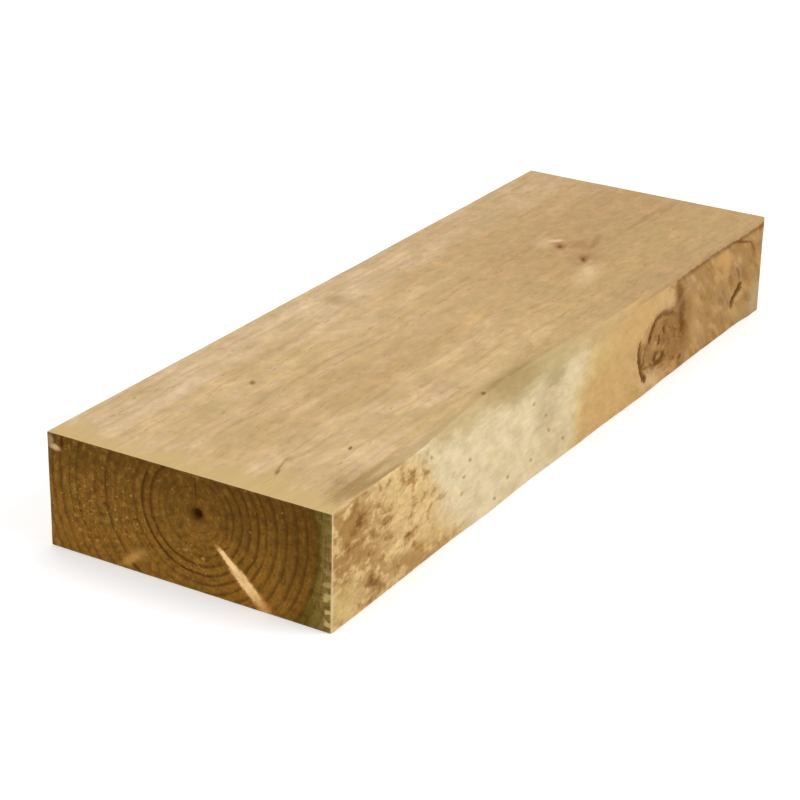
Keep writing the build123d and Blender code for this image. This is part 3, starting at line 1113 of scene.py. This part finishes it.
floor_mesh = bpy.data.meshes.new("studio_floor")
corners = [(i * floor_reach, j * floor_reach, 0.0) for i, j in ((-1, -1), (1, -1), (1, 1), (-1, 1))]
floor_mesh.from_pydata(corners, [], [(0, 1, 2, 3)])
floor = bpy.data.objects.new("studio_floor", floor_mesh)
floor.location.z = -floor_gap
bpy.context.scene.collection.objects.link(floor)


def studio_white(shading, lit, seen):
    """What camera and mirror rays see, over what lights the object: the share is 1 for those rays."""
    path = shading.add("LightPath", {}).outputs
    direct = shading.math("MAXIMUM", path["Is Camera Ray"], path["Is Glossy Ray"])
    share = shading.math("MAXIMUM", direct, path["Is Transmission Ray"])
    return shading.add("MixShader", {0: share, 1: lit, 2: seen}).outputs[0]


def floor_material():
    """Matt white; what the camera sees is lifted by a little glow, so that it ends in the white backdrop."""
    material, s = new_material("studio_floor")
    matt = s.add("BsdfDiffuse", {"Color": floor_white}).outputs[0]
    glow = s.add("Emission", {"Color": pure_white, "Strength": floor_glow}).outputs[0]
    lifted = s.add("AddShader", {0: matt, 1: glow}).outputs[0]
    s.add("OutputMaterial", {"Surface": studio_white(s, matt, lifted)})
    return material


floor_mesh.materials.append(floor_material())

world = bpy.data.worlds.new("studio")
world.use_nodes = True
world.node_tree.nodes.clear()
sky = Shading(world.node_tree)
fill_light = sky.add("Background", {"Color": pure_white, "Strength": 0.5}).outputs[0]
white_wall = sky.add("Background", {"Color": pure_white, "Strength": 1.0}).outputs[0]
sky.add("OutputWorld", {"Surface": studio_white(sky, fill_light, white_wall)})
bpy.context.scene.world = world


def soft_lamp(name, place, size, watts):
    """A square area lamp that looks from its place to the block."""
    lamp = bpy.data.lights.new(name, "AREA")
    lamp.size = size
    lamp.energy = watts
    made = bpy.data.objects.new(name, lamp)
    made.location = place
    made.rotation_euler = (Vector(lamp_target) - Vector(place)).to_track_quat("-Z", "Y").to_euler()
    bpy.context.scene.collection.objects.link(made)


soft_lamp("key", (1.9, 0.3, 1.7), 1.4, 30.0)
soft_lamp("top", (-0.4, 0.6, 2.4), 1.6, 13.5)
soft_lamp("front", (-0.5, -2.3, 1.0), 1.6, 17.0)

# The camera is where a fit to the block's corners puts the photographer. Its axes in the frame come from the
# azimuth round the block, the height angle and the roll.
camera_place = (0.7092, -1.2484, 0.6386)
camera_azimuth = math.radians(30.888)
camera_elevation = math.radians(23.686)
camera_roll = math.radians(1.113)
focal_pixels = 2298.66
frame_pixels = 800
sensor = 36.0


def camera_axes(azimuth, elevation, roll):
    """Right, up and back as columns: the level right-hand axis and its up are turned by the roll."""
    right = Vector((math.cos(azimuth), math.sin(azimuth), 0.0))
    level_back = Vector((math.sin(azimuth), -math.cos(azimuth), 0.0))
    back = level_back * math.cos(elevation) + Vector(UP) * math.sin(elevation)
    up = back.cross(right)
    tilted_right = right * math.cos(roll) + up * math.sin(roll)
    tilted_up = up * math.cos(roll) - right * math.sin(roll)
    return Matrix((tilted_right, tilted_up, back)).transposed()


camera_data = bpy.data.cameras.new("camera")
camera_data.sensor_width = sensor
camera_data.lens = sensor * focal_pixels / frame_pixels
camera = bpy.data.objects.new("camera", camera_data)
axes = camera_axes(camera_azimuth, camera_elevation, camera_roll)
camera.matrix_world = Matrix.Translation(camera_place) @ axes.to_4x4()
bpy.context.scene.collection.objects.link(camera)
bpy.context.scene.camera = camera
bpy.context.scene.view_settings.view_transform = "Standard"
